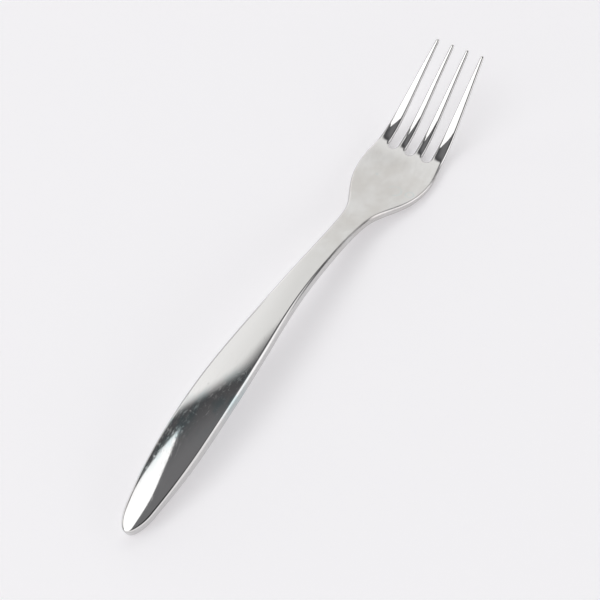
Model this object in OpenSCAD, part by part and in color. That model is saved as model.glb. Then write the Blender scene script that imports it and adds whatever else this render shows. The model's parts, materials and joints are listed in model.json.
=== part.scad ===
// Dinner fork, stamped from one piece of stainless steel and pressed to shape.
// Millimetres. X runs from the handle end to the tine tips, Y across, Z up from the table.
// It lies as on a table, on its handle end and the middle of its palm, tines up.
// The whole fork is one skin: two faces of lines from side to side, and between them a
// rounded edge that runs all the way round, in and out of the slots.

/* [Overall] */
// Length of the top face seen from above, from the handle end to the tine tips
fork_len = 200; // [185:1:215]
// Height of the top of the tine tips above the table
tip_h = 24.5; // [20:0.1:30]

/* [Handle] */
// Width of the handle at its widest place
handle_w = 13.2; // [11:0.1:16]
// Distance from the handle end to the widest place
handle_wide_at = 38; // [32:1:46]
// Width that the sides draw in to at the handle end, before it is rounded off
end_w = 6.6; // [5:0.1:8]
// Length of the rounded stretch at the handle end
end_round = 7; // [5:0.5:9]
// Thickness of the handle's edge at its thickest place
handle_t = 4.4; // [3.4:0.1:5]
// Distance from the handle end to the thickest place
handle_thick_at = 34; // [24:1:44]
// Thickness of the edge at the handle end
end_t = 3.5; // [2.4:0.1:4]
// Rise of the middle of the handle's top above its two edges
handle_crown = 0.35; // [0.2:0.05:1.2]
// Height of the handle's top edge above the table at the top of the arch
arch_h = 15.3; // [12:0.1:19]
// Radius of the edges along the handle's top
handle_edge_r = 0.4; // [0.2:0.05:0.8]

/* [Neck] */
// Width of the neck at its narrowest place
neck_w = 7.8; // [6:0.1:10]
// Thickness of the neck's edge
neck_t = 3.4; // [2.8:0.1:4]
// Rise of the middle of the neck's top above its two edges
neck_crown = 0.35; // [0.2:0.05:1]
// Radius of the edges along the neck's top
neck_edge_r = 0.9; // [0.4:0.05:1]

/* [Palm] */
// Width of the palm at its widest place
palm_w = 26; // [23:0.5:29]
// Distance from the narrowest place of the neck to the slot roots
palm_len = 53; // [46:1:60]
// Distance from the widest place of the palm to the slot roots
palm_front = 8; // [5:0.5:11]
// Thickness of the palm
palm_t = 2.4; // [1.8:0.1:2.8]
// Depth of the palm's middle below its two edges, where it is deepest
palm_dish = 1; // [0.6:0.1:1.6]
// Distance from the deepest place of the palm to the slot roots
dish_front = 16; // [12:1:20]
// Radius of the edges round the palm's top
palm_edge_r = 0.45; // [0.2:0.05:0.6]

/* [Tines] */
// Number of tines
tine_count = 4; // [3:1:4]
// Length of the tines seen from above, from the slot roots to the tips
tine_len = 35; // [30:1:40]
// Width over the palm at the slot roots
root_w = 24.4; // [23:0.1:25.5]
// Distance between the middles of two slots at their roots
slot_pitch = 6.3; // [6:0.1:6.6]
// Width over the outer two tips
tips_w = 18; // [16:0.1:20]
// Width of a slot at its root
slot_w = 3; // [2.4:0.1:3.6]
// Width of one tine at its tip
tip_w = 1.3; // [1.1:0.05:1.6]
// Thickness of the tines at the slot roots
tine_t = 2.1; // [1.6:0.05:2.4]
// Thickness of a tine at its tip
tip_t = 1.3; // [1.1:0.05:1.5]
// Rise of the middle of each tine above its two sides
tine_crown = 0.22; // [0:0.02:0.4]
// Depth of what is left of the palm's dish across the four tines
tines_dish = 0.1; // [0:0.1:0.5]
// Radius of the edges round the slot roots
root_edge_r = 0.6; // [0.3:0.05:0.7]
// Radius of the edges along the tines' tops
tine_edge_r = 0.35; // [0.2:0.05:0.4]

/* [Hidden] */

// Places along the fork, from the handle end
root_at = fork_len - tine_len;
neck_at = root_at - palm_len;
palm_at = root_at - palm_front;
dish_at = root_at - dish_front;
// The top of the arch, as a share of the way from the handle end to the neck
arch_share = 0.68;
arch_at = arch_share * neck_at;

// Underside edges are rounder than the top ones, by this share
under_round_share = 1.3;
// Convexity of the handle's underside, as a share of the crown on top
belly_share = 0.35;
// Stretch from the slot roots over which the tines take on their crown, as a share of them
crown_run_share = 0.31;
crown_run = crown_run_share * tine_len;

// How each stretch gets from one named size to the next: pairs of the share of the way
// along the stretch and the share of the change done by then
end_to_wide_shares = [[0.14, 0.21], [0.3, 0.49], [0.5, 0.77], [0.72, 0.945]];
wide_to_neck_shares = [[0.15, 0.06], [0.35, 0.33], [0.52, 0.65], [0.68, 0.86], [0.85, 0.965]];
neck_to_palm_shares = [[0.2, 0.015], [0.38, 0.08], [0.5, 0.25], [0.62, 0.52], [0.75, 0.79], [0.88, 0.945]];
palm_to_root_shares = [[0.5, 0.38]];
root_to_tips_shares = [[0.25, 0.22], [0.6, 0.57]];
end_to_arch_shares = [
    [0.13, 0.245], [0.26, 0.455], [0.39, 0.64], [0.52, 0.79], [0.66, 0.892], [0.79, 0.948], [0.92, 0.987]
];
arch_to_palm_shares = [
    [0.17, 0.04], [0.3, 0.143], [0.42, 0.277], [0.54, 0.435], [0.67, 0.64], [0.79, 0.836], [0.89, 0.958]
];
palm_to_tips_shares = [[0.19, 0.015], [0.3, 0.06], [0.42, 0.16], [0.54, 0.305], [0.77, 0.65]];
neck_to_dish_shares = [[0.49, 0.4], [0.76, 0.8]];
dish_to_root_shares = [[0.44, 0.22], [0.81, 0.75]];

// Numbers of steps that the surface is cut into
end_steps = 6;
handle_steps = 29;
palm_steps = 16;
front_steps = 3;
slot_steps = 4;
tine_steps = 11;
tip_steps = 4;
edge_steps = 3;
across_steps = 4;

function mix(a, b, share) = a + (b - a) * share;
function unit2(v) = v / norm(v);

// One stretch of a table: its start and the points between, without its end
function stretch(from, to, shares = []) = [
    from,
    for (s = shares) [mix(from[0], to[0], s[0]), mix(from[1], to[1], s[1])]
];

// Smooth curve through a table of [place, value] pairs, with no overshoot between them
function rise(t, i) = (t[i + 1][1] - t[i][1]) / (t[i + 1][0] - t[i][0]);
function slope(t, i) =
    i == 0 ? rise(t, 0)
    : i == len(t) - 1 ? rise(t, i - 1)
    : rise(t, i - 1) * rise(t, i) <= 0 ? 0
    : 2 / (1 / rise(t, i - 1) + 1 / rise(t, i));
function cubic(a, b, slope_a, slope_b, x) =
    let (span = b[0] - a[0], u = (x - a[0]) / span)
    a[1] * (2 * u * u * u - 3 * u * u + 1) + slope_a * span * (u * u * u - 2 * u * u + u)
    + b[1] * (3 * u * u - 2 * u * u * u) + slope_b * span * (u * u * u - u * u);
function before(t, x, i = 0) = i >= len(t) - 2 || x < t[i + 1][0] ? i : before(t, x, i + 1);
function along(t, x) =
    let (i = before(t, x))
    cubic(t[i], t[i + 1], slope(t, i), slope(t, i + 1), x);

// Half of the width over all
sides = concat(
    stretch([0, end_w / 2], [handle_wide_at, handle_w / 2], end_to_wide_shares),
    stretch([handle_wide_at, handle_w / 2], [neck_at, neck_w / 2], wide_to_neck_shares),
    stretch([neck_at, neck_w / 2], [palm_at, palm_w / 2], neck_to_palm_shares),
    stretch([palm_at, palm_w / 2], [root_at, root_w / 2], palm_to_root_shares),
    stretch([root_at, root_w / 2], [fork_len, tips_w / 2], root_to_tips_shares),
    [[fork_len, tips_w / 2]]
);
// Height of the top edges
low_h = palm_t + palm_dish;
top_edges = concat(
    stretch([0, end_t], [arch_at, arch_h], end_to_arch_shares),
    stretch([arch_at, arch_h], [palm_at, low_h], arch_to_palm_shares),
    stretch([palm_at, low_h], [fork_len, tip_h], palm_to_tips_shares),
    [[fork_len, tip_h]]
);
thicknesses = [
    [0, end_t], [handle_thick_at, handle_t], [neck_at, neck_t],
    [palm_at, palm_t], [root_at, tine_t], [fork_len, tip_t]
];
edge_radii = [
    [0, handle_edge_r], [handle_wide_at, handle_edge_r], [neck_at, neck_edge_r],
    [palm_at, palm_edge_r], [root_at, root_edge_r], [fork_len, tine_edge_r]
];
// Rise of the middle over the edges on top, and the depth of the dish on both faces
crowns = [[0, handle_crown], [neck_at, neck_crown], [palm_at, 0], [fork_len, 0]];
dishes = concat(
    [[0, 0]],
    stretch([neck_at, 0], [dish_at, palm_dish], neck_to_dish_shares),
    stretch([dish_at, palm_dish], [root_at, tines_dish], dish_to_root_shares),
    [[root_at, tines_dish], [fork_len, tines_dish]]
);

// The handle end is rounded off as half an ellipse
function end_rounding(x) = x >= end_round ? 1 : sqrt(1 - pow(1 - x / end_round, 2));
function half_w(x) = along(sides, x) * end_rounding(x);

// The outline seen from above, as the stations that both sides share
front_at = root_at - root_edge_r;
body_stations = concat(
    [for (i = [0:end_steps - 1]) end_round * (1 - cos(90 * i / end_steps))],
    [for (i = [0:handle_steps - 1]) mix(end_round, neck_at, i / handle_steps)],
    [for (i = [0:palm_steps - 1]) mix(neck_at, palm_at, i / palm_steps)],
    [for (i = [0:front_steps]) mix(palm_at, front_at, i / front_steps)]
);
slot_r = slot_w / 2;
tip_r = tip_w / 2;
tine_stations = concat(
    [for (i = [0:slot_steps - 1]) root_at + slot_r * (1 - cos(90 * i / slot_steps))],
    [for (i = [0:tine_steps]) mix(root_at + slot_r, fork_len - tip_r, i / tine_steps)],
    [for (i = [1:tip_steps]) fork_len - tip_r + tip_r * sin(90 * i / tip_steps)]
);
last_body = len(body_stations) - 1;
last_tine = len(tine_stations) - 1;

// The slots: their middles draw together towards the tips, and they widen as the tines narrow
tip_pitch = (tips_w - tip_w) / (tine_count - 1);
function slot_middle(j, x) =
    (tine_count / 2 - j) * mix(slot_pitch, tip_pitch, (x - root_at) / tine_len);
function slot_half(x) =
    let (
        open = mix(slot_r, (tip_pitch - tip_w) / 2, (x - root_at) / tine_len),
        short = max(0, 1 - (x - root_at) / slot_r)
    )
    open * sqrt(1 - short * short);

// The two sides of a tine, brought together in a round tip
function tip_rounding(x) =
    let (past = max(0, (x - fork_len) / tip_r + 1))
    sqrt(max(0, 1 - past * past));
function tine_side(j, k, side) =
    let (
        x = tine_stations[k],
        left = j == 0 ? half_w(x) : slot_middle(j, x) - slot_half(x),
        right = j == tine_count - 1 ? -half_w(x) : slot_middle(j + 1, x) + slot_half(x)
    )
    [x, (left + right + side * tip_rounding(x) * (left - right)) / 2];

// The whole outline in one round: the left side, up and down each tine, the right side
outline = concat(
    [for (x = body_stations) [x, half_w(x)]],
    [
        for (j = [0:tine_count - 1]) each concat(
            [for (k = [1:last_tine]) tine_side(j, k, 1)],
            [for (k = [last_tine - 1:-1:j == tine_count - 1 ? 1 : 0]) tine_side(j, k, -1)]
        )
    ],
    [for (i = [last_body:-1:1]) [body_stations[i], -half_w(body_stations[i])]]
);
around = len(outline);
// Where a tine's left and right stations come on the outline
function left_of(j, k) = last_body + 2 * last_tine * j + k;
function right_of(j, k) = last_body + 2 * last_tine * (j + 1) - k;

function towards(i) = unit2(outline[(i + 1) % around] - outline[i % around]);
inwards = [
    for (i = [0:around - 1])
        let (d = unit2(towards(i) + towards(i + around - 1)))
        [d[1], -d[0]]
];

// Slope of the fork at a place, and the point that lies a depth below the line of the top
// edges there, square to the slope
probe_share = 0.001;
probe = probe_share * fork_len;
function lean(x) = atan((along(top_edges, x + probe) - along(top_edges, x - probe)) / (2 * probe));
function at_depth(place, depth) =
    let (a = lean(place[0]))
    [place[0] + depth * sin(a), place[1], along(top_edges, place[0]) - depth * cos(a)];
function bulge(place, under) =
    (along(crowns, place[0]) * (under ? -belly_share : 1) - along(dishes, place[0]))
    * (1 - pow(place[1] / along(sides, place[0]), 2));
function skin(place, under, rise = 0) =
    at_depth(place, (under ? along(thicknesses, place[0]) : -rise) - bulge(place, under));

// The edge all round: a quarter round on top, the wall, and a quarter round underneath
edge_count = 2 * (edge_steps + 1);
function is_under(p) = p > edge_steps;
function turn(p) = 90 * (is_under(p) ? edge_count - 1 - p : p) / edge_steps;
function edge_r(i, p) = along(edge_radii, outline[i][0]) * (is_under(p) ? under_round_share : 1);
function edge_place(i, p) = outline[i] + edge_r(i, p) * (1 - sin(turn(p))) * inwards[i];
function edge_point(i, p) =
    let (
        place = edge_place(i, p),
        sink = edge_r(i, p) * (1 - cos(turn(p))),
        x = outline[i][0]
    )
    at_depth(place, (is_under(p) ? along(thicknesses, x) - sink : sink) - bulge(place, is_under(p)));

// The two faces between the edges: lines straight across the body, and across each tine.
// The lines of the body divide it as the tines' own lines do at the slot roots.
across = tine_count * across_steps;
function end_of(under) = under ? edge_count - 1 : 0;
function front_y(a) =
    let (j = min(tine_count - 1, floor(a / across_steps)))
    mix(edge_place(left_of(j, 0), 0)[1], edge_place(right_of(j, 0), 0)[1], a / across_steps - j);
across_shares = [for (a = [0:across]) (1 - front_y(a) / front_y(0)) / 2];
function body_point(s, a, under) = skin(
    mix(edge_place(s, end_of(under)), edge_place(around - s, end_of(under)), across_shares[a]),
    under
);
function tine_rise(x, share) =
    tine_crown * 4 * share * (1 - share) * min(1, max(0, (x - root_at) / crown_run));
function tine_point(j, k, q, under) =
    let (
        share = q / across_steps,
        left = edge_place(left_of(j, k), end_of(under)),
        place = mix(left, edge_place(right_of(j, k), end_of(under)), share)
    )
    skin(place, under, under ? 0 : tine_rise(place[0], share));

shaped_points = concat(
    [for (i = [0:around - 1], p = [0:edge_count - 1]) edge_point(i, p)],
    [
        for (under = [false, true]) each concat(
            [for (s = [1:last_body - 1], a = [1:across - 1]) body_point(s, a, under)],
            [
                for (j = [0:tine_count - 1], k = [0:last_tine - 1], q = [1:across_steps - 1])
                    tine_point(j, k, q, under)
            ]
        )
    ]
);

// The fork is let down on the table, on the lowest point of its handle and that of its palm
function lowest(list) = let (low = min([for (p = list) p[2]])) [for (p = list) if (p[2] == low) p][0];
handle_foot = lowest([for (p = shaped_points) if (p[0] < arch_at) p]);
palm_foot = lowest([for (p = shaped_points) if (p[0] > arch_at) p]);
function table_under(x) =
    mix(handle_foot[2], palm_foot[2], (x - handle_foot[0]) / (palm_foot[0] - handle_foot[0]));
// The origin is on the table, under the middle of the whole length
reach = [for (p = shaped_points) p[0]];
middle = (min(reach) + max(reach)) / 2;
points = [for (p = shaped_points) [p[0] - middle, p[1], p[2] - table_under(p[0])]];

// Places of the points in the list
body_inner = (last_body - 1) * (across - 1);
tine_inner = tine_count * last_tine * (across_steps - 1);
function edge_at(i, under) = (i % around) * edge_count + end_of(under);
function inner_at(under) = around * edge_count + (under ? body_inner + tine_inner : 0);
function tine_at(j, k, q, under) =
    q == 0 ? edge_at(left_of(j, k), under)
    : q == across_steps ? edge_at(right_of(j, k), under)
    : inner_at(under) + body_inner + (j * last_tine + k) * (across_steps - 1) + q - 1;
function body_at(s, a, under) =
    a == 0 ? edge_at(s, under)
    : a == across ? edge_at(around - s, under)
    : s == last_body ? tine_at(floor(a / across_steps), 0, a % across_steps, under)
    : inner_at(under) + (s - 1) * (across - 1) + a - 1;

// Triangles, mirrored about the middle of the fork and turned over underneath
function turned(face, over) = over ? [face[2], face[1], face[0]] : face;
function quad(a, b, c, d, over, mirrored) = mirrored
    ? [turned([a, b, d], over), turned([b, c, d], over)]
    : [turned([a, b, c], over), turned([a, c, d], over)];
function body_quad(s, a, under) = quad(
    body_at(s, a, under), body_at(s + 1, a, under), body_at(s + 1, a + 1, under), body_at(s, a + 1, under),
    under, a < across / 2
);
function tine_quad(j, k, q, under) = quad(
    tine_at(j, k, q, under), tine_at(j, k + 1, q, under),
    tine_at(j, k + 1, q + 1, under), tine_at(j, k, q + 1, under),
    under, j < tine_count / 2
);
faces = concat(
    [
        for (under = [false, true]) each concat(
            [
                for (a = [0:across - 1])
                    turned([edge_at(0, under), body_at(1, a, under), body_at(1, a + 1, under)], under)
            ],
            [for (s = [1:last_body - 1], a = [0:across - 1]) each body_quad(s, a, under)],
            [
                for (j = [0:tine_count - 1], k = [0:last_tine - 2], q = [0:across_steps - 1])
                    each tine_quad(j, k, q, under)
            ],
            [
                for (j = [0:tine_count - 1], q = [0:across_steps - 1]) turned([
                    tine_at(j, last_tine - 1, q, under),
                    edge_at(left_of(j, last_tine), under),
                    tine_at(j, last_tine - 1, q + 1, under)
                ], under)
            ]
        )
    ],
    [
        for (i = [0:around - 1], p = [0:edge_count - 2])
            let (here = i * edge_count + p, next = (i + 1) % around * edge_count + p)
            each quad(here, here + 1, next + 1, next, false, i < around / 2)
    ]
);

module fork() {
    color("silver")
        polyhedron(points, faces, convexity = 8);
}

fork();
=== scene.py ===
# %% [markdown]
# # A dinner fork, pressed and polished
# The real fork is one piece of stainless steel. A flat blank is cut from sheet and rolled to
# thickness, a press bends it over a die and dishes the palm, and the edges and faces are polished.
# This lesson makes it in the same order: a flat blank in mesh code, a press in Geometry Nodes,
# and a polished finish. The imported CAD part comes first, because it says where everything goes.

# %% The frame
import json
import bpy
import numpy as np
from mathutils import Matrix, Vector

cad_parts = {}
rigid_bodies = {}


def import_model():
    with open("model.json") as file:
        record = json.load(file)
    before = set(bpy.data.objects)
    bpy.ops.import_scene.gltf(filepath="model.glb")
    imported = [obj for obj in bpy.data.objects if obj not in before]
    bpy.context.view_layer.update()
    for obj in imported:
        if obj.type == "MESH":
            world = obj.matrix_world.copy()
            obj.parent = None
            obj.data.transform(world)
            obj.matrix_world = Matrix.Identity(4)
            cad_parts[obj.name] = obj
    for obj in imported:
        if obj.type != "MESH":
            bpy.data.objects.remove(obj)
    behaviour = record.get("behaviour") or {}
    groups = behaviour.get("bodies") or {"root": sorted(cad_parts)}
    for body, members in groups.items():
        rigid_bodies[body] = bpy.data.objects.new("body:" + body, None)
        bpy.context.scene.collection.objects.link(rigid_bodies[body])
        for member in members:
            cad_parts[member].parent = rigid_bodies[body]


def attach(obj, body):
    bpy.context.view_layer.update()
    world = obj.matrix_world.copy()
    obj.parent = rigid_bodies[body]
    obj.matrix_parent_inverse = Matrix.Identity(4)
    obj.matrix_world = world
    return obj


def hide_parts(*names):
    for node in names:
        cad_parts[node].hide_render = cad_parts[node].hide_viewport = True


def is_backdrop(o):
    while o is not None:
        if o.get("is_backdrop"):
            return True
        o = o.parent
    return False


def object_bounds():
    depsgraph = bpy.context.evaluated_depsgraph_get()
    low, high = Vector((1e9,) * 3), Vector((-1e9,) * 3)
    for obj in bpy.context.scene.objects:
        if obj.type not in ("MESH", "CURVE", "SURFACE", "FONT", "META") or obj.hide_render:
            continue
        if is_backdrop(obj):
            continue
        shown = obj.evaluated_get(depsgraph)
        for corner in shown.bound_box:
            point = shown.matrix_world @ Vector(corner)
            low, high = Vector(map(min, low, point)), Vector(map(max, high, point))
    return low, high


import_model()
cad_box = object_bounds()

mm = 0.001
print("the fork's box in mm:", [[round(x / mm, 2) for x in corner] for corner in cad_box])

# %% [markdown]
# ## The camera
# The photograph was taken from above the handle end, a little to its right, from close by, so that
# the handle end looks larger than the tines. Its place is written as one would say it: how
# high, from which side, how far, and where the fork lies in the picture. The last two are
# worked into the camera's place, so the lens needs no shift.

# %% Camera
picture = 600
sensor = 36
camera_elevation = np.radians(51.8)
camera_heading = np.radians(60.9)
camera_roll = np.radians(1.5)
camera_distance = 0.399
# The scale of the picture at the fork's origin, and the pixel where the origin is seen
pixels_per_metre = 3209
origin_pixel = (311.6, 289.1)

# Level directions in the fork's frame: to the right of the picture, and away from the camera
rightward = Vector((np.cos(camera_heading), -np.sin(camera_heading), 0))
away = Vector((np.sin(camera_heading), np.cos(camera_heading), 0))
upward = Vector((0, 0, 1))
tilted_up = away * np.sin(camera_elevation) + upward * np.cos(camera_elevation)
backward = upward * np.sin(camera_elevation) - away * np.cos(camera_elevation)
across_picture = rightward * np.cos(camera_roll) + tilted_up * np.sin(camera_roll)
up_picture = tilted_up * np.cos(camera_roll) - rightward * np.sin(camera_roll)
turn = Matrix((across_picture, up_picture, backward)).transposed()

focal_pixels = pixels_per_metre * camera_distance
camera_data = bpy.data.cameras.new("camera")
camera_data.sensor_width = sensor
camera_data.lens = sensor * focal_pixels / picture
camera_data.clip_start = 0.01
camera = bpy.data.objects.new("camera", camera_data)
bpy.context.scene.collection.objects.link(camera)
origin_seen = Vector((origin_pixel[0] - picture / 2, picture / 2 - origin_pixel[1], -focal_pixels))
camera.matrix_world = Matrix.Translation(-(turn @ origin_seen) / pixels_per_metre) @ turn.to_4x4()
bpy.context.scene.camera = camera
bpy.context.scene.view_settings.view_transform = "Standard"
print("lens in mm:", round(camera_data.lens, 1), "at", [round(x, 3) for x in camera.location])

# %% [markdown]
# ## Nodes
# Materials, the world and the press are all node trees. One small function adds a node, sets it
# up, and fills its inputs with values or with the outputs of nodes that are there already.
# Colours are written as on a paint card, in sRGB hex, and one function turns them to linear.

# %% Node and colour helpers
def add(tree, kind, inputs=None, **settings):
    node = tree.nodes.new(kind)
    for name, value in settings.items():
        setattr(node, name, value)
    for name, value in (inputs or {}).items():
        if isinstance(value, bpy.types.NodeSocket):
            tree.links.new(value, node.inputs[name])
        else:
            node.inputs[name].default_value = value
    return node


def colour(hex_code, level=1.0):
    parts = [int(hex_code[i:i + 2], 16) / 255 for i in (1, 3, 5)]
    linear = [c / 12.92 if c <= 0.04045 else ((c + 0.055) / 1.055) ** 2.4 for c in parts]
    return (*[c * level for c in linear], 1)


def new_material(name):
    material = bpy.data.materials.new(name)
    material.use_nodes = True
    material.node_tree.nodes.clear()
    return material, material.node_tree


# %% [markdown]
# ## The room
# Polished steel has hardly any look of its own: it shows the room. The handle and the tines curve
# through many directions, so a photograph of them is also a picture of the room they lay in. It
# shows a dark ceiling, a bright far side that starts at a soft straight border, a dark corner
# on the far left and bright walls low down. Each side is told by a direction: the dot product
# with it says how far one looks that way. A border close to 0 is straight, and one close to 1
# is a small round.

# %% The room's light
ceiling = colour("#818183")
# Each side lies over the ones before it: its direction to the right, away and upwards, the dot
# products where its light starts and where it is full, its colour and how bright it is
sides_of_room = [
    ((0, 0, -1), -0.62, -0.42, "#efeef1", 1.05),
    ((-0.8, -0.35, -0.5), -0.05, 0.05, "#f1f1f3", 1.6),
    ((0.5, 0, -0.87), 0, 0.08, "#f1f0f1", 1.75),
    ((0, -0.66, -0.75), -0.03, 0.1, "#f1f0f1", 1.3),
]

world = bpy.data.worlds.new("room")
bpy.context.scene.world = world
world.use_nodes = True
tree = world.node_tree
tree.nodes.clear()
towards = add(tree, "ShaderNodeTexCoord").outputs["Generated"]


def reach(normal, start, full):
    """How far a direction is past a border, from 0 where the light starts to 1 where it is full."""
    right, far, up = normal
    square = (rightward * right + away * far + upward * up).normalized()
    past = add(tree, "ShaderNodeVectorMath", {0: towards, 1: square}, operation="DOT_PRODUCT")
    return add(tree, "ShaderNodeMapRange", {
        "Value": past.outputs["Value"], "From Min": start, "From Max": full,
    }, interpolation_type="SMOOTHSTEP").outputs[0]


# The dark round in front is the unlit place behind the camera, and the bright sides cover its rim
layers = [(reach((0.35, -0.56, 0.75), 0.8, 0.88), colour("#1a1a1c"))]
for normal, start, full, code, level in sides_of_room:
    layers.append((reach(normal, start, full), colour(code, level)))

# %% [markdown]
# The ceiling grows darker towards the far side. There the bright far side starts, at a soft
# border that bends at its left end, so it is full only where both borders are passed. Its
# light falls off to the right. The dark corner on the far left is a round patch, so its share is
# full where a direction comes close to the corner's own.

# %% The far side and the dark corner
far_normal, bent_normal = (-0.32, 1.0, -0.51), (0, 1.0, -0.39)
layers.append((reach(far_normal, -0.28, -0.05), colour("#5a5a5c")))
far_share = add(tree, "ShaderNodeMath", {
    0: reach(far_normal, -0.047, 0.052), 1: reach(bent_normal, -0.04, 0.025)}, operation="MULTIPLY")
far_light = add(tree, "ShaderNodeMix", {
    0: reach((1, 0, 0), -0.45, 0.15), 6: colour("#f1f1f1", 1.55), 7: colour("#f0f0ef", 1.2),
}, data_type="RGBA")
layers.append((far_share.outputs[0], far_light.outputs[2]))
layers.append((reach((-0.58, 0.62, 0.53), 0.925, 0.965), colour("#8d8f90")))

room = ceiling
for amount, light in layers:
    room = add(tree, "ShaderNodeMix", {0: amount, 6: room, 7: light}, data_type="RGBA").outputs[2]
background = add(tree, "ShaderNodeBackground", {"Color": room})
add(tree, "ShaderNodeOutputWorld", {"Surface": background.outputs[0]})
print("sides of the room:", len(layers))

# %% [markdown]
# One large softbox hangs over the table on the left. Its outline is the sharp white shape in
# the handle end and along each tine, and it throws the soft shadow on the right. Its edges are
# places on a ceiling one unit up, so that its size in the reflections stays the same at any height.

# %% Softbox
softbox_height = 4
softbox_turn = np.radians(11.2)
softbox_right, softbox_left = -0.293, -1.05
softbox_far, softbox_near = 0.322, -0.7
softbox_glow = 1.5

lamp = bpy.data.lights.new("softbox", "AREA")
lamp.shape = "RECTANGLE"
lamp.size = (softbox_right - softbox_left) * softbox_height
lamp.size_y = (softbox_far - softbox_near) * softbox_height
lamp.energy = softbox_glow * np.pi * lamp.size * lamp.size_y
softbox = bpy.data.objects.new("softbox", lamp)
bpy.context.scene.collection.objects.link(softbox)
box_right = rightward * np.cos(softbox_turn) + away * np.sin(softbox_turn)
box_far = away * np.cos(softbox_turn) - rightward * np.sin(softbox_turn)
middle_of_lamp = (
    box_right * (softbox_right + softbox_left) / 2
    + box_far * (softbox_far + softbox_near) / 2
    + upward
) * softbox_height
level_turn = Matrix((box_right, box_far, upward)).transposed()
softbox.matrix_world = Matrix.Translation(middle_of_lamp) @ level_turn.to_4x4()
softbox.visible_camera = False
print("softbox in m:", round(lamp.size, 2), "by", round(lamp.size_y, 2))
print("its power in W:", round(lamp.energy))

# %% [markdown]
# ## The table
# A plain pale table takes the shadow. It is a disc that fades into the room's own pale colour
# at its rim, so that no edge shows from a low angle. Its paint is a light grey, and the camera
# and the steel's reflections see a little glow added, which Light Path lets only their rays see.
# So the table looks nearly white and its shadow stays soft, with no more light on the fork.

# %% Table
table_radius, table_corners = 0.7, 96
fade_starts, fade_ends = 0.5 * table_radius, 0.98 * table_radius
bpy.ops.mesh.primitive_circle_add(vertices=table_corners, radius=table_radius, fill_type="NGON")
table = bpy.context.object
table.name = "table"
table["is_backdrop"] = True
paint, tree = new_material("matt_white_paint")
table_at = add(tree, "ShaderNodeTexCoord").outputs["Object"]
from_middle = add(tree, "ShaderNodeVectorMath", {0: table_at}, operation="LENGTH").outputs["Value"]
fade = add(tree, "ShaderNodeMapRange", {
    "Value": from_middle, "From Min": fade_starts, "From Max": fade_ends,
}, interpolation_type="SMOOTHSTEP")
matt = add(tree, "ShaderNodeBsdfDiffuse", {"Color": colour("#dcdcde")})
ray = add(tree, "ShaderNodeLightPath").outputs
seen = add(tree, "ShaderNodeMath", {
    0: ray["Is Camera Ray"], 1: ray["Is Glossy Ray"]}, operation="MAXIMUM")
glow = add(tree, "ShaderNodeEmission", {"Color": colour("#9d9b9c"), "Strength": seen.outputs[0]})
lit = add(tree, "ShaderNodeAddShader", {0: matt.outputs[0], 1: glow.outputs[0]})
clear = add(tree, "ShaderNodeBsdfTransparent")
faded = add(tree, "ShaderNodeMixShader", {0: fade.outputs[0], 1: lit.outputs[0], 2: clear.outputs[0]})
add(tree, "ShaderNodeOutputMaterial", {"Surface": faded.outputs[0]})
table.data.materials.append(paint)
print("table's radius in m:", table_radius)

# %% [markdown]
# ## Sizes of the fork
# All the sizes are in millimetres, and places count from the handle end along the table. They are
# the CAD part's, but for what a mirror shows and a ruler hardly does: the rounds and the slant of
# the edges, the crown of the tines and their slopes. Each table holds the points where a line
# changes: a few named sizes, and between them shares of the way and of the change done by then.

# %% Sizes of the body
fork_len = 200
# The handle's width and where it is widest, and the width and the round of its end
handle_w, handle_wide_at, end_w, end_round = 13.2, 38, 6.6, 7
# Its thickness and where it is thickest, the thickness of its end, and the crown of its top
handle_t, handle_thick_at, end_t, handle_crown = 4.4, 34, 3.5, 0.34
neck_w, neck_t = 7.8, 3.4
# The palm is widest a little before the slots begin, and its middle is dished
palm_w, palm_len, palm_front, palm_t, palm_dish = 26, 53, 8, 2.4, 1.0
# The four tines together are root_w wide at their roots and tips_w wide at their tips
tine_count, tine_len, root_w, tips_w, slot_pitch, slot_w = 4, 35, 24.4, 18, 6.3, 3
tip_w, tine_t, tip_t = 1.3, 2.1, 1.3
# The crown of a tine grows between two places past its root
tine_crown, tine_crown_from, tine_crown_full = 0.07, 1, 5.5
# The belly of the underside for each millimetre of the crown on top
belly_share = 0.35

root_at = fork_len - tine_len
neck_at = root_at - palm_len
palm_at = root_at - palm_front
print("neck, widest palm and slot roots, in mm along:", neck_at, palm_at, root_at)

# %% Sizes of the edges
# Rounds of the upper edge. That of the handle end reaches end_edge_len along
end_edge_r, end_edge_len, handle_edge_r, neck_edge_r, palm_edge_r = 0.6, 24, 0.4, 0.9, 0.45
root_edge_r, tine_edge_r, tine_edge_at, tip_edge_r = 0.7, 0.55, 175, 0.45
# The slanted facet between two rounds: its tilt in degrees, and its widths
edge_tilt, end_facet, handle_facet, handle_facet_to = 50, 0.12, 0.5, 60
palm_facet, tine_facet = 0.3, 0.2
# The round of the lower edge for each millimetre of the upper one's
under_round_share = 1.3
print("rounds of the handle's upper and lower edge in mm:", handle_edge_r, handle_edge_r * under_round_share)

# %% How the widths, the dish and the crown change
end_to_wide_shares = [[0.14, 0.21], [0.3, 0.49], [0.5, 0.77], [0.72, 0.945]]
wide_to_neck_shares = [[0.15, 0.06], [0.35, 0.33], [0.52, 0.65], [0.68, 0.86], [0.85, 0.965]]
neck_to_palm_shares = [[0.2, 0.015], [0.38, 0.08], [0.5, 0.25], [0.62, 0.52], [0.75, 0.79], [0.88, 0.945]]
palm_to_root_shares = [[0.5, 0.38]]
root_to_tips_shares = [[0.25, 0.22], [0.6, 0.57]]
# Places along in mm, and how much of the dish or of the crown there is at each
dish_shares = [
    [neck_at, 0], [130, 0.4], [140, 0.8], [149, 1], [156, 0.8], [162, 0.35], [167, 0],
    [fork_len, -0.1]]
crown_shares = [
    [0, 1.2], [20, 1], [40, 0.84], [60, 0.8], [85, 0.95], [neck_at, 1], [palm_at, 0]]

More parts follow.
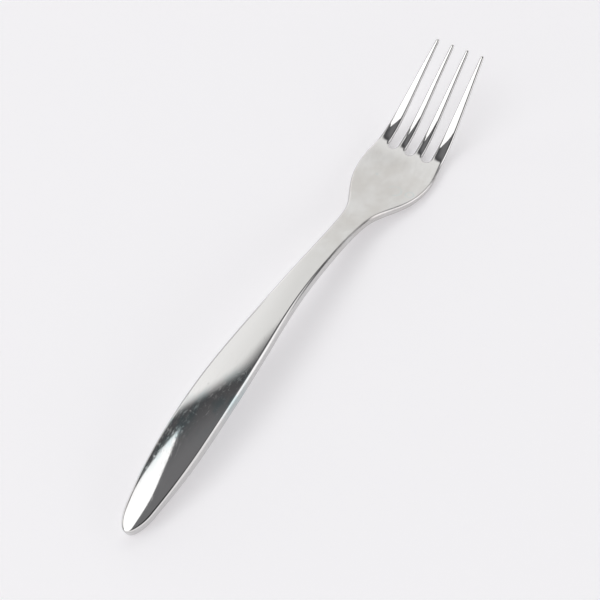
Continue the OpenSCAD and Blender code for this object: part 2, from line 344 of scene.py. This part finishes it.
# %% [markdown]
# The side view of the fork is given by its slopes and not by its heights. A mirror shows slopes:
# a tenth of a degree moves the border in the handle by half a millimetre, and no eye would see
# the same difference as a height. Adding the slopes up gives the heights.

# %% Slopes of the side view in degrees
slopes = [
    [0, 16.8], [8, 15.8], [18, 13.3], [30, 11.5], [37, 9.7], [45, 6.5], [56, 3.4], [68, 2.4], [78, 0.1],
    [90, -4.8], [101, -8.6], [111, -10], [122, -12.5], [131, -14.1], [138, -13.4], [145, -9.8], [152, -4],
    [158, 1], [164.6, 4.2], [166.4, 6.8], [167.6, 12], [168.8, 17.2], [170, 19.2], [171.7, 20.6],
    [173.6, 26.2], [176.2, 31.9], [180, 35.2], [185, 36.1], [192, 35.6], [200, 34.7]]
print("steepest place of the tines in degrees:", max(slope for _, slope in slopes))

# %% [markdown]
# A line through a table must not swing out between its points, so each stretch is a cubic whose
# slopes are the harmonic means of the rises on both sides. Steel that was pressed and polished
# has no sudden change of curve either, and a mirror finish would show one. So the line is then
# averaged over a few millimetres, as polishing does.

# %% Smooth lines
fine_step, beyond_ends = 0.05, 30
fine = np.arange(-beyond_ends, fork_len + beyond_ends, fine_step)


def stretch(start, end, shares):
    """The points from one named point towards the next one, which isn't among them."""
    change = np.array(end, float) - start
    return [start] + [list(np.array(start) + change * share) for share in shares]


def line_through(table, softness):
    """The smooth line through a table, evened out over a distance, as a function."""
    at, value = np.array(table, float).T
    rise = np.diff(value) / np.diff(at)
    slope = np.concatenate([rise[:1], np.zeros(len(rise) - 1), rise[-1:]])
    same_way = np.flatnonzero(rise[:-1] * rise[1:] > 0)
    slope[same_way + 1] = 2 / (1 / rise[same_way] + 1 / rise[same_way + 1])
    inside = np.clip(fine, at[0], at[-1])
    i = np.clip(np.searchsorted(at, inside, side="right") - 1, 0, len(rise) - 1)
    span = at[i + 1] - at[i]
    u = (inside - at[i]) / span
    line = (
        value[i] * (2 * u**3 - 3 * u**2 + 1) + slope[i] * span * (u**3 - 2 * u**2 + u)
        + value[i + 1] * (3 * u**2 - 2 * u**3) + slope[i + 1] * span * (u**3 - u**2)
    )
    line += slope[0] * np.minimum(fine - at[0], 0) + slope[-1] * np.maximum(fine - at[-1], 0)
    offsets = np.arange(-3 * softness, 3 * softness + fine_step, fine_step)
    weights = np.exp(-0.5 * (offsets / softness) ** 2)
    padded = np.pad(line, len(offsets) // 2, mode="reflect", reflect_type="odd")
    line = np.convolve(padded, weights / weights.sum(), mode="valid")[:len(fine)]
    return lambda x: np.interp(x, fine, line)


# %% Lines of the fork
# How far each line is evened out, in mm
soft, slope_soft, crown_soft, dish_soft = 2, 1, 4, 3

wide, neck, palm, root, tips = handle_w / 2, neck_w / 2, palm_w / 2, root_w / 2, tips_w / 2
side_line = line_through(
    stretch([0, end_w / 2], [handle_wide_at, wide], end_to_wide_shares)
    + stretch([handle_wide_at, wide], [neck_at, neck], wide_to_neck_shares)
    + stretch([neck_at, neck], [palm_at, palm], neck_to_palm_shares)
    + stretch([palm_at, palm], [root_at, root], palm_to_root_shares)
    + stretch([root_at, root], [fork_len, tips], root_to_tips_shares)
    + [[fork_len, tips]], soft)
slope_line = line_through(slopes, slope_soft)
heights = np.cumsum(np.tan(np.radians(slope_line(fine)))) * fine_step
heights += end_t - np.interp(0, fine, heights)


def top_line(x):
    return np.interp(x, fine, heights)


thickness = line_through([
    [0, end_t], [handle_thick_at, handle_t], [neck_at, neck_t], [palm_at, palm_t],
    [root_at, tine_t], [fork_len, tip_t]], soft)
edge_radius = line_through([
    [0, end_edge_r], [end_edge_len / 3, end_edge_r], [end_edge_len, handle_edge_r],
    [handle_wide_at, handle_edge_r], [neck_at, neck_edge_r], [palm_at, palm_edge_r],
    [root_at, root_edge_r], [tine_edge_at, tine_edge_r], [fork_len, tip_edge_r]], soft)
facet = line_through([
    [0, end_facet], [end_edge_len / 3, end_facet], [end_edge_len, handle_facet],
    [handle_facet_to, handle_facet], [palm_at, palm_facet], [root_at, tine_facet],
    [fork_len, tine_facet]], soft)
crown_along = line_through(crown_shares + [[fork_len, 0]], crown_soft)
dish_along = line_through([[0, 0]] + dish_shares, dish_soft)
print("heights in mm every 20 mm along:", top_line(np.arange(0, fork_len + 1, 20)).round(1))

# %% [markdown]
# ## The outline of the blank
# Seen from above, the outline runs up the left side, in and out between the tines, and down the
# right side. Both sides share the same stations, which lie closer together where the outline
# turns quickly: round the handle end, in the slot roots and round the tips.

# %% Stations along the fork
end_steps, body_steps, front_steps = 12, 200, 8
slot_steps, tine_steps, tip_steps = 8, 60, 8
slot_r, tip_r = slot_w / 2, tip_w / 2
tip_pitch = (tips_w - tip_w) / (tine_count - 1)
front_at = root_at - root_edge_r - tine_facet * np.cos(np.radians(edge_tilt))


def quarter(steps):
    return np.radians(90) * np.arange(steps) / steps


body_at = np.concatenate([
    end_round * (1 - np.cos(quarter(end_steps))),
    np.linspace(end_round, palm_at, body_steps + 1)[:-1],
    np.linspace(palm_at, front_at, front_steps + 1),
])
tine_at = np.concatenate([
    root_at + slot_r * (1 - np.cos(quarter(slot_steps))),
    np.linspace(root_at + slot_r, fork_len - tip_r, tine_steps + 1)[:-1],
    fork_len - tip_r + tip_r * np.sin(quarter(tip_steps)),
    [fork_len],
])
last_body, last_tine = len(body_at) - 1, len(tine_at) - 1
print("stations along the body and the tines:", len(body_at), len(tine_at))


# %% Sides of the body and the tines
def half_width(x):
    """The body's half width, with the round of the handle end."""
    return side_line(x) * np.sqrt(1 - np.clip(1 - x / end_round, 0, 1) ** 2)


def slot_middle(j, x):
    """How far to the left the slot lies that is between tine j - 1 and tine j."""
    pitch = slot_pitch + (tip_pitch - slot_pitch) * (x - root_at) / tine_len
    return (tine_count / 2 - j) * pitch


def tine_between(j, x):
    """The left and right side of tine j, from its root to just before its round tip."""
    slot_half = slot_r + (tip_pitch / 2 - tip_r - slot_r) * (x - root_at) / tine_len
    slot_half = slot_half * np.sqrt(1 - np.clip(1 - (x - root_at) / slot_r, 0, 1) ** 2)
    left = half_width(x) if j == 0 else slot_middle(j, x) - slot_half
    right = -half_width(x) if j == tine_count - 1 else slot_middle(j + 1, x) + slot_half
    return left, right


# %% Outline
tip_half = np.sqrt(1 - np.clip((tine_at - fork_len) / tip_r + 1, 0, 1) ** 2)
sides = []
for j in range(tine_count):
    left, right = tine_between(j, tine_at)
    middle, half = (left + right) / 2, (left - right) / 2 * tip_half
    up = np.stack([tine_at, middle + half], 1)[1:]
    down = np.stack([tine_at, middle - half], 1)[-2::-1]
    sides += [up, down if j < tine_count - 1 else down[:-1]]
body_side = np.stack([body_at, half_width(body_at)], 1)
outline = np.concatenate([body_side, *sides, body_side[:0:-1] * [1, -1]])
around = len(outline)
steps_on = np.roll(outline, -1, 0) - outline
steps_on /= np.linalg.norm(steps_on, axis=1, keepdims=True)
heading = steps_on + np.roll(steps_on, 1, 0)
heading /= np.linalg.norm(heading, axis=1, keepdims=True)
inward = np.stack([heading[:, 1], -heading[:, 0]], 1)
print("points round the outline:", around)

# %% [markdown]
# ## The rounded edge
# A blank comes from the press with square edges. The wheel breaks the upper edge at a slant, and
# polishing rounds it on both sides of the slant. The underside gets one larger round. The slant
# is narrow, but it catches the light as a white line along the whole fork. A row is said by
# how far it lies inside the outline, how deep it lies, and whether it belongs to the top.

# %% Rows of the edge
over_rows, under_rows, lower_steps = 6, 5, 7
wall_shares = [0.12, 0.5, 0.88]
slant = np.radians(edge_tilt)
over_slant = np.linspace(0, slant, over_rows)
under_slant = np.linspace(slant, np.radians(90), under_rows)
lower_round = np.radians(90) * np.arange(lower_steps + 1) / lower_steps

radius = edge_radius(outline[:, 0])
facet_w = facet(outline[:, 0])
under_radius = radius * under_round_share
deep = thickness(outline[:, 0])
top_inset = radius + facet_w * np.cos(slant)
top_depth = radius + facet_w * np.sin(slant)
rows = [(top_inset - radius * np.sin(t), radius * (1 - np.cos(t)), 1.0) for t in over_slant]
rows += [(radius * (1 - np.sin(t)), top_depth - radius * np.cos(t), 1.0) for t in under_slant]
rows += [(0 * deep, top_depth + (deep - under_radius - top_depth) * s, 1 - s) for s in wall_shares]
rows += [
    (under_radius * (1 - np.sin(t)), deep - under_radius * (1 - np.cos(t)), 0.0)
    for t in lower_round[::-1]]
edge_rows = len(rows)
edge_place = np.stack([outline + inset[:, None] * inward for inset, _, _ in rows], 1)
edge_depth = np.stack([depth for _, depth, _ in rows], 1)
edge_top = np.repeat([[top for _, _, top in rows]], around, 0)
print("rows from top to underside:", edge_rows)

# %% [markdown]
# ## Top and underside
# Between the two edges both faces are nets of straight lines: from side to side over the body,
# and from side to side over each tine. The body's lines are divided as the tines' are at the
# slot roots, so that the nets meet point to point. A net is a grid of point numbers, and a face
# takes four neighbours. Where a grid ends in a single point, the repeated corners are dropped.

# %% Helpers for the nets
across_steps = 12
across = tine_count * across_steps
places, depths, tops = [edge_place.reshape(-1, 2)], [edge_depth.ravel()], [edge_top.ravel()]
rises = [np.zeros(around * edge_rows)]
count = around * edge_rows
faces = []


def left_of(j, k):
    """The number of the outline's point on the left of tine j, at its station k."""
    return last_body + 2 * last_tine * j + k


def right_of(j, k):
    """The number of the outline's point on the right of tine j, at its station k."""
    return last_body + 2 * last_tine * (j + 1) - k


def quads(grid, over):
    """The faces of a grid of point numbers, turned over where the top faces up."""
    corners = np.stack([grid[:-1, :-1], grid[1:, :-1], grid[1:, 1:], grid[:-1, 1:]], -1).reshape(-1, 4)
    return [list(dict.fromkeys(c)) for c in (corners[:, ::-1] if over else corners).tolist()]


def net(left, right, shares, row, tine_rise):
    """Adds points between left and right points of one row, and returns the grid of all of them."""
    global count
    a, b = edge_place[left, row], edge_place[right, row]
    inner = a[:, None] + (b - a)[:, None] * shares[1:-1, None]
    places.append(inner.reshape(-1, 2))
    depths.append((np.zeros(inner.shape[:2]) if row == 0 else thickness(inner[..., 0])).ravel())
    tops.append(np.full(inner.size // 2, 1.0 if row == 0 else 0.0))
    rises.append((tine_rise * np.ones(inner.shape[:2])).ravel())
    numbers = count + np.arange(inner.size // 2).reshape(inner.shape[:2])
    count += inner.size // 2
    lefts, rights = (left * edge_rows + row)[:, None], (right * edge_rows + row)[:, None]
    return np.concatenate([lefts, numbers, rights], 1)


# %% Shares across the body and the tines
front_y = []
for j in range(tine_count):
    ends = edge_place[[left_of(j, 0), right_of(j, 0)], 0, 1]
    front_y += list(np.linspace(*ends, across_steps + 1)[:-1])
front_y = np.array(front_y + [-front_y[0]])
body_shares = (1 - front_y / front_y[0]) / 2
tine_shares = np.linspace(0, 1, across_steps + 1)
station = np.arange(last_tine)
# A tine's crown sets in softly past the root, and gets lower as the tine gets narrower
past_root = (tine_at[:-1] - root_at - tine_crown_from) / (tine_crown_full - tine_crown_from)
past_root = np.clip(past_root, 0, 1)
crown_start = (past_root**2 * (3 - 2 * past_root))[:, None]
arch_across = 4 * (tine_shares * (1 - tine_shares))[1:-1]
print("lines across the front of the body:", len(body_shares))

# %% Nets of points
for row in (0, edge_rows - 1):
    front = []
    for j in range(tine_count):
        lefts, rights = left_of(j, station), right_of(j, station)
        flat_w = edge_place[lefts, 0, 1] - edge_place[rights, 0, 1]
        full_w = np.interp(root_at + tine_crown_full, tine_at[:-1], flat_w)
        crown_rise = crown_start * (flat_w / full_w)[:, None] ** 2 * arch_across if row == 0 else 0
        grid = net(lefts, rights, tine_shares, row, crown_rise)
        tip = left_of(j, last_tine) * edge_rows + row
        faces += quads(np.vstack([grid, np.full(across_steps + 1, tip)]), row == 0)
        front += list(grid[0][:-1] if j < tine_count - 1 else grid[0])
    number = np.arange(1, last_body)
    grid = net(number, around - number, body_shares, row, 0)
    faces += quads(np.vstack([np.full(across + 1, row), grid, front]), row == 0)
edge_grid = np.arange(around * edge_rows).reshape(around, edge_rows)
faces += quads(np.vstack([edge_grid, edge_grid[:1]]), False)
place = np.concatenate(places)
print("points:", len(place), "faces:", len(faces))

# %% [markdown]
# ## The press
# Pressing bends the flat blank along the die without stretching it, so the blank's length is
# measured along the die's line, and each point of the blank finds its place on the die by its
# distance along it. A Geometry Nodes tree does the same: it looks the place up with Sample
# Curve, lifts the point square to the die, and adds the crown of the handle and the tines and
# the dish of the palm. Four attributes on the blank say how much of each a point takes, and
# three more tell the finish where a point is: how far along, on the wall, and on top.

# %% The die
die_points = 1601
die_x = np.linspace(0, fork_len, die_points)
die_z = top_line(die_x)
die_along = np.concatenate([[0], np.cumsum(np.hypot(np.diff(die_x), np.diff(die_z)))])

die_curve = bpy.data.curves.new("die", "CURVE")
die_curve.dimensions = "3D"
die_spline = die_curve.splines.new("POLY")
die_spline.points.add(die_points - 1)
die_co = np.stack([die_x * mm, 0 * die_x, die_z * mm, 1 + 0 * die_x], 1)
die_spline.points.foreach_set("co", die_co.ravel())
die = bpy.data.objects.new("die", die_curve)
bpy.context.scene.collection.objects.link(die)
print("length along the die in mm:", round(die_along[-1], 2))

# %% The flat blank
x, y = place.T
is_top = np.concatenate(tops)
flat = np.stack([np.interp(x, die_x, die_along), y, -np.concatenate(depths)], 1) * mm
mesh = bpy.data.meshes.new("flat_blank")
mesh.from_pydata(flat.tolist(), [], faces)
blank = bpy.data.objects.new("flat_blank", mesh)
bpy.context.scene.collection.objects.link(blank)
attributes = {
    "side": y / side_line(x),
    "crown_share": crown_along(x) * (is_top * (1 + belly_share) - belly_share),
    "dish_share": dish_along(x),
    "tine_share": np.concatenate(rises),
    "along": x / fork_len,
    "wall": 4 * is_top * (1 - is_top),
    "top": is_top,
}
for name, values in attributes.items():
    mesh.attributes.new(name, "FLOAT", "POINT").data.foreach_set("value", values.astype(np.float32))
print("attributes on the blank:", list(attributes))

# %% The press as a tree
press = bpy.data.node_groups.new("press", "GeometryNodeTree")
press.interface.new_socket("Geometry", in_out="OUTPUT", socket_type="NodeSocketGeometry")
press.interface.new_socket("Geometry", in_out="INPUT", socket_type="NodeSocketGeometry")
inputs = {
    name: press.interface.new_socket(name, in_out="INPUT", socket_type=kind).identifier
    for name, kind in (
        ("Die", "NodeSocketObject"), ("Crown", "NodeSocketFloat"), ("Dish", "NodeSocketFloat"),
        ("Tine Crown", "NodeSocketFloat"), ("Finish", "NodeSocketMaterial"))
}
given = add(press, "NodeGroupInput").outputs
die_line = add(press, "GeometryNodeObjectInfo", {"Object": given["Die"]}).outputs["Geometry"]
blank_at = add(press, "GeometryNodeInputPosition").outputs[0]
parts = add(press, "ShaderNodeSeparateXYZ", {0: blank_at}).outputs
on_die = add(press, "GeometryNodeSampleCurve", {"Curves": die_line, "Length": parts["X"]}, mode="LENGTH")
square_up = add(press, "ShaderNodeVectorMath", {
    0: on_die.outputs["Tangent"], 1: (0, 1, 0)}, operation="CROSS_PRODUCT").outputs[0]
point = {
    name: add(press, "GeometryNodeInputNamedAttribute", {"Name": name}, data_type="FLOAT").outputs[0]
    for name in ("side", "crown_share", "dish_share", "tine_share")
}

# %% Crown, dish and lift in the press
squared = add(press, "ShaderNodeMath", {0: point["side"], 1: point["side"]}, operation="MULTIPLY")
arc = add(press, "ShaderNodeMath", {0: 1, 1: squared.outputs[0]}, operation="SUBTRACT")
crown = add(press, "ShaderNodeMath", {
    0: given["Crown"], 1: point["crown_share"]}, operation="MULTIPLY")
dish = add(press, "ShaderNodeMath", {
    0: given["Dish"], 1: point["dish_share"]}, operation="MULTIPLY")
bulge = add(press, "ShaderNodeMath", {0: crown.outputs[0], 1: dish.outputs[0]}, operation="SUBTRACT")
bulged = add(press, "ShaderNodeMath", {
    0: bulge.outputs[0], 1: arc.outputs[0], 2: parts["Z"]}, operation="MULTIPLY_ADD")
raised = add(press, "ShaderNodeMath", {
    0: given["Tine Crown"], 1: point["tine_share"], 2: bulged.outputs[0]}, operation="MULTIPLY_ADD")
lift = add(press, "ShaderNodeVectorMath", {0: square_up, "Scale": raised.outputs[0]}, operation="SCALE")
sideways = add(press, "ShaderNodeCombineXYZ", {"Y": parts["Y"]})
pressed_at = add(press, "ShaderNodeVectorMath", {
    0: on_die.outputs["Position"], 1: lift.outputs[0]}, operation="ADD")
moved = add(press, "ShaderNodeVectorMath", {0: pressed_at.outputs[0], 1: sideways.outputs[0]})
shaped = add(press, "GeometryNodeSetPosition", {
    "Geometry": given["Geometry"], "Position": moved.outputs[0]})
real = add(press, "GeometryNodeRealizeInstances", {"Geometry": shaped.outputs[0]})
finished = add(press, "GeometryNodeSetMaterial", {
    "Geometry": real.outputs[0], "Material": given["Finish"]})
add(press, "NodeGroupOutput", {"Geometry": finished.outputs[0]})
print("inputs of the press:", list(inputs))

# %% [markdown]
# ## The finish
# Table forks are made of 18/10 or 18/0 stainless steel. Its colour is a slightly warm light grey,
# and as a metal it has no other colour of its own. Buffing makes the handle and the tines
# a mirror. The palm is hard to reach with the wheel and stays satin. The first cells say where
# each finish lies, by the distance along the fork that the blank carries as an attribute.

# %% Where the steel is satin
# It starts between the first two places along, and ends between the last two, in mm
satin_starts, satin_full, satin_wanes, satin_ends = 84, 124, 160, 166
steel, tree = new_material("polished_stainless_steel")
along = add(tree, "ShaderNodeAttribute", attribute_name="along").outputs["Fac"]
side = add(tree, "ShaderNodeAttribute", attribute_name="side").outputs["Fac"]
wall = add(tree, "ShaderNodeAttribute", attribute_name="wall").outputs["Fac"]
top = add(tree, "ShaderNodeAttribute", attribute_name="top").outputs["Fac"]
past_neck = add(tree, "ShaderNodeMapRange", {
    "Value": along, "From Min": satin_starts / fork_len, "From Max": satin_full / fork_len,
}, interpolation_type="SMOOTHSTEP")
before_tines = add(tree, "ShaderNodeMapRange", {
    "Value": along, "From Min": satin_ends / fork_len, "From Max": satin_wanes / fork_len,
}, interpolation_type="SMOOTHSTEP")
satin = add(tree, "ShaderNodeMath", {
    0: past_neck.outputs[0], 1: before_tines.outputs[0]}, operation="MULTIPLY")
print("satin from", satin_starts, "to", satin_ends, "mm along")

# %% [markdown]
# Each pattern is a noise that is stretched to real sizes in millimetres: along the fork, across
# it and through it. The wheel runs along the fork and leaves long faint lines. A finger leaves
# soft blotches, the sheet keeps a slight waviness from rolling, and the cut edge was only
# tumbled, so its wall is mottled. Real polishing lines are a few hundredths of a millimetre
# wide, which no pixel here could show, so they are drawn about ten times as coarse.

# %% Patterns in the steel
object_at = add(tree, "ShaderNodeTexCoord").outputs["Object"]
# The sizes of each pattern in mm, and how many finer layers lie in it
patterns = {
    "polishing": ((30, 0.7, 0.7), 2),
    "scratches": ((14, 0.9, 3), 1),
    "blotches": ((9, 6, 6), 3),
    "waviness": ((7, 5, 5), 0),
    "film": ((8, 4, 8), 3),
    "flecks": ((1.6, 0.8, 1), 3),
    "mottling": ((1.6, 0.9, 0.9), 2),
}
# Scratches of use run at a slight turn to the fork, in radians
scratch_turn = 0.25
pattern = {}
for name, (size, detail) in patterns.items():
    stretched = add(tree, "ShaderNodeMapping", {
        "Vector": object_at, "Rotation": (0, 0, scratch_turn if name == "scratches" else 0.0),
        "Scale": [length * mm for length in size]}, vector_type="TEXTURE")
    noise = add(tree, "ShaderNodeTexNoise", {
        "Vector": stretched.outputs[0], "Scale": 1, "Detail": detail})
    pattern[name] = noise.outputs["Fac"]
print("patterns in the steel:", list(pattern))

# %% [markdown]
# Dried drops and dust are small rough specks. Voronoi scatters them: each cell has a distance to
# its point, which gives a round spot, and a random number, which keeps only some of the spots.
# They lie thickest where the thumb held the handle, at a slant across it. A thin film of lime
# lies there as well, and it turns the reflection slightly blue-green.

# %% Where the thumb held it
# The thumb's place starts, is full, wanes and ends at these places along, in mm. It lies at a
# slant: at the fork's side it has moved by thumb_slant
thumb_starts, thumb_full, thumb_wanes, thumb_ends, thumb_slant = 18, 34, 42, 54, 12
slanted = add(tree, "ShaderNodeMath", {
    0: side, 1: thumb_slant / fork_len, 2: along}, operation="MULTIPLY_ADD").outputs[0]
past_start = add(tree, "ShaderNodeMapRange", {
    "Value": slanted, "From Min": thumb_starts / fork_len, "From Max": thumb_full / fork_len,
}, interpolation_type="SMOOTHSTEP")
before_end = add(tree, "ShaderNodeMapRange", {
    "Value": slanted, "From Min": thumb_ends / fork_len, "From Max": thumb_wanes / fork_len,
}, interpolation_type="SMOOTHSTEP")
held = add(tree, "ShaderNodeMath", {
    0: past_start.outputs[0], 1: before_end.outputs[0]}, operation="MULTIPLY")
print("held from", thumb_starts, "to", thumb_ends, "mm along")

# %% Specks and film
# One spot in every speck_pitch mm, of which 2.5 in 100 are kept, and 20 more where it was held
speck_pitch, hidden_share, shown_by_thumb = 1.2, 0.975, 0.2
spots = add(tree, "ShaderNodeTexVoronoi", {"Vector": object_at, "Scale": 1 / (speck_pitch * mm)})
spot = add(tree, "ShaderNodeMapRange", {
    "Value": spots.outputs["Distance"], "From Min": 0.3, "From Max": 0.08,
}, interpolation_type="SMOOTHSTEP")
chance = add(tree, "ShaderNodeSeparateColor", {0: spots.outputs["Color"]})
hidden = add(tree, "ShaderNodeMath", {
    0: held.outputs[0], 1: -shown_by_thumb, 2: hidden_share}, operation="MULTIPLY_ADD")
kept = add(tree, "ShaderNodeMath", {
    0: chance.outputs["Red"], 1: hidden.outputs[0]}, operation="GREATER_THAN")
speck = add(tree, "ShaderNodeMath", {0: spot.outputs[0], 1: kept.outputs[0]}, operation="MULTIPLY")
flecked = add(tree, "ShaderNodeMapRange", {
    "Value": pattern["flecks"], "From Min": 0.56, "From Max": 0.66}, interpolation_type="SMOOTHSTEP")
fleck = add(tree, "ShaderNodeMath", {0: flecked.outputs[0], 1: held.outputs[0]}, operation="MULTIPLY")
patchy = add(tree, "ShaderNodeMapRange", {
    "Value": pattern["film"], "From Min": 0.42, "From Max": 0.68}, interpolation_type="SMOOTHSTEP")
film = add(tree, "ShaderNodeMath", {0: patchy.outputs[0], 1: held.outputs[0]}, operation="MULTIPLY")
print("mm between two spots:", speck_pitch)

# %% [markdown]
# Three drops have dried on the palm. A drop leaves its lime at its rim, so each is a ring: the
# distance from the drop's middle compared with its radius. The blotches bend the ring and break
# it into pieces, because no drop dries evenly. They add half a radius on average, so the sum
# is compared with one and a half.

# %% Dried drops
# The place of each drop's middle, its radius and how far its rim reaches to each side, in mm.
# The last drop is so small that its rim fills it
drops = [
    ((47.6, -3.9, 3), 2.2, 0.25),
    ((48.4, -9.2, 3.4), 1.4, 0.2),
    ((51.9, 4.8, 2.7), 0.1, 0.3),
]
marks = 0.0
for drop_at, drop_r, rim in drops:
    from_drop = add(tree, "ShaderNodeVectorMath", {
        0: object_at, 1: Vector(drop_at) * mm}, operation="DISTANCE")
    bent = add(tree, "ShaderNodeMath", {
        0: pattern["blotches"], 1: drop_r * mm, 2: from_drop.outputs["Value"],
    }, operation="MULTIPLY_ADD")
    ring = add(tree, "ShaderNodeMath", {
        0: bent.outputs[0], 1: 1.5 * drop_r * mm, 2: rim * mm}, operation="COMPARE")
    marks = add(tree, "ShaderNodeMath", {
        0: ring.outputs[0], 1: marks}, operation="MAXIMUM").outputs[0]
broken = add(tree, "ShaderNodeMapRange", {"Value": pattern["blotches"], "From Min": 0.36, "From Max": 0.46})
marks = add(tree, "ShaderNodeMath", {0: marks, 1: broken.outputs[0]}, operation="MULTIPLY").outputs[0]
marks = add(tree, "ShaderNodeMath", {0: marks, 1: top}, operation="MULTIPLY").outputs[0]
print("dried drops:", len(drops))

# %% Tint
clean_steel, greasy_steel, limed_steel = "#d1d0cf", "#c5c2bf", "#bac6c7"
lime = add(tree, "ShaderNodeMath", {
    0: marks, 1: 0.5, 2: film.outputs[0]}, operation="MULTIPLY_ADD").outputs[0]
# The satin palm isn't wiped as clean as the mirror parts, so it has a faint uneven grease
greasy = add(tree, "ShaderNodeMapRange", {
    "Value": pattern["blotches"], "From Min": 0.65, "From Max": 0.35, "To Max": 0.8})
grease = add(tree, "ShaderNodeMath", {0: greasy.outputs[0], 1: satin.outputs[0]}, operation="MULTIPLY")
steel_tint = add(tree, "ShaderNodeMix", {
    0: grease.outputs[0], 6: colour(clean_steel), 7: colour(greasy_steel),
}, data_type="RGBA").outputs[2]
tint = add(tree, "ShaderNodeMix", {
    0: lime, 6: steel_tint, 7: colour(limed_steel)}, data_type="RGBA").outputs[2]
print("colours of the steel:", clean_steel, greasy_steel, limed_steel)

# %% [markdown]
# Roughness adds up from all of them, and so does the height for the bump, in real metres. The
# lines are under a thousandth of a millimetre deep, which is enough to comb a reflection.

# %% Roughness
# A scratch is drawn where its pattern passes its middle value, 0.5
scratch_width = 0.012
scratched = add(tree, "ShaderNodeMath", {
    0: pattern["scratches"], 1: 0.5, 2: scratch_width}, operation="COMPARE")
mirror_rough = 0.03
roughened_by = [
    (satin.outputs[0], 0.13), (pattern["polishing"], 0.03), (scratched.outputs[0], 0.06),
    (speck.outputs[0], 0.16), (fleck.outputs[0], 0.08), (film.outputs[0], 0.02),
    (marks, 0.05), (wall, 0.12),
]
rough = mirror_rough
for value, amount in roughened_by:
    rough = add(tree, "ShaderNodeMath", {
        0: value, 1: amount, 2: rough}, operation="MULTIPLY_ADD").outputs[0]
print("roughness where nothing adds to it:", mirror_rough)

# %% Height
uneven_wall = add(tree, "ShaderNodeMath", {
    0: pattern["mottling"], 1: wall}, operation="MULTIPLY").outputs[0]
height = 0.0
raised_by = [
    (pattern["polishing"], 0.12e-6), (pattern["waviness"], 2e-6), (uneven_wall, 40e-6),
    (pattern["blotches"], 0.4e-6), (speck.outputs[0], 1.2e-6), (fleck.outputs[0], 1e-6),
]
for value, amount in raised_by:
    height = add(tree, "ShaderNodeMath", {
        0: value, 1: amount, 2: height}, operation="MULTIPLY_ADD").outputs[0]
bump = add(tree, "ShaderNodeBump", {"Strength": 1.0, "Distance": 1.0, "Height": height})
print("patterns that raise the surface:", len(raised_by))

# %% Polished stainless steel
shader = add(tree, "ShaderNodeBsdfPrincipled", {
    "Base Color": tint, "Metallic": 1.0, "Roughness": rough, "Normal": bump.outputs[0]})
add(tree, "ShaderNodeOutputMaterial", {"Surface": shader.outputs[0]})
print("nodes of the finish:", len(tree.nodes))

# %% [markdown]
# ## Pressing it
# The tree is put on the blank as a modifier, and its inputs get their sizes. The result is taken
# as a plain mesh, because a finished piece carries no modifier that the export would have to
# know. The blank and the die have then done their work.

# %% Press it
press_it = blank.modifiers.new("press", "NODES")
press_it.node_group = press
for name, value in (
        ("Die", die), ("Crown", handle_crown * mm), ("Dish", palm_dish * mm),
        ("Tine Crown", tine_crown * mm), ("Finish", steel)):
    press_it[inputs[name]] = value
pressed = bpy.data.meshes.new_from_object(blank.evaluated_get(bpy.context.evaluated_depsgraph_get()))
blank.modifiers.remove(press_it)
for used in (blank, die):
    bpy.data.objects.remove(used)
print("points of the pressed fork:", len(pressed.vertices))

# %% [markdown]
# ## On the table
# The pressed fork is let down on the table, on the lowest point of its handle and that of its
# palm, and the origin comes under the middle of its length, as on the CAD part.

# %% Let it down
points = np.zeros(len(pressed.vertices) * 3, np.float32)
pressed.vertices.foreach_get("co", points)
points = points.reshape(-1, 3).astype(float)
on_handle = points[:, 0] < neck_at * mm
feet = [points[half][points[half][:, 2].argmin()] for half in (on_handle, ~on_handle)]
lean = (feet[1][2] - feet[0][2]) / (feet[1][0] - feet[0][0])
points[:, 2] -= feet[0][2] + lean * (points[:, 0] - feet[0][0])
points[:, 0] -= (points[:, 0].min() + points[:, 0].max()) / 2
pressed.vertices.foreach_set("co", points.astype(np.float32).ravel())
pressed.update()
pressed.shade_smooth()
fork = bpy.data.objects.new("steel_fork", pressed)
bpy.context.scene.collection.objects.link(fork)
corners = points[[p.vertices[0] for p in pressed.polygons]]
normals = np.array([p.normal * p.area for p in pressed.polygons])
print("volume in mm3:", round((corners * normals).sum() / 3 / mm**3))
print("box in mm:", (points.min(0) / mm).round(2), (points.max(0) / mm).round(2))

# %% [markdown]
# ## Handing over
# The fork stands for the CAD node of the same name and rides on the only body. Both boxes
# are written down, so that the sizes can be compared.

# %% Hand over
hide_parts("fork")
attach(fork, "root")
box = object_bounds()
change = [[round((b - a) / mm, 3) for a, b in zip(*corner)] for corner in zip(cad_box, box)]
print("lowest and highest corner against the CAD box in mm:", change)
